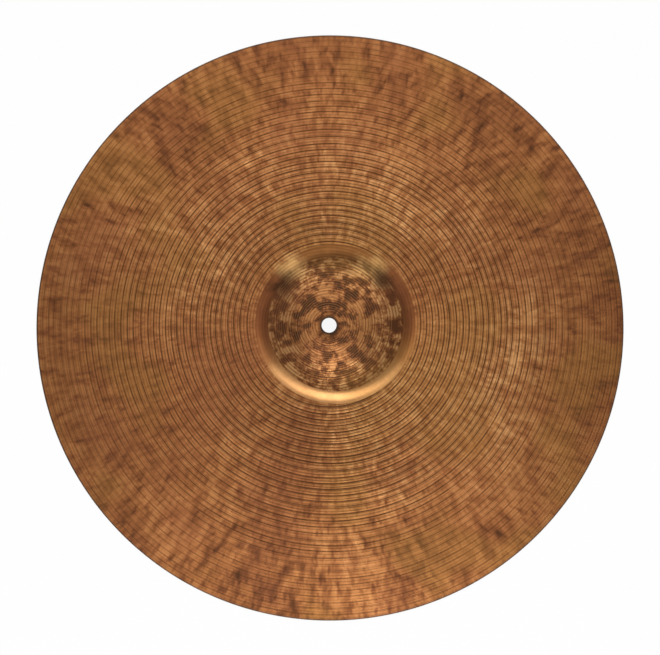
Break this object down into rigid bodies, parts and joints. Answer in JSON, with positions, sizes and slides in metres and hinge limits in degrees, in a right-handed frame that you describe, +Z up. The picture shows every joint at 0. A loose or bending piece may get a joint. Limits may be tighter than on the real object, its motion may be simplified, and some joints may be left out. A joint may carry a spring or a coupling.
{
  "type": "ride cymbal",
  "caption": "Round bronze ride cymbal: a hammered, lathed bow that thins towards the rim, with a raised bell and a central mounting hole.",
  "frame": {"origin": "centre of the circle of the rim, in the plane that the rim rests on", "axes": "+Z up through the bell, the way the cymbal hangs on its stand; +Y away from a player who stands at -Y"},
  "size_m": [0.508, 0.508, 0.0474],
  "materials": {
    "bronze": "lathed and hammered bell bronze with an aged golden-brown patina"
  },
  "bodies": {
    "root": {"cymbal": "bronze"}
  },
  "joints": []
}
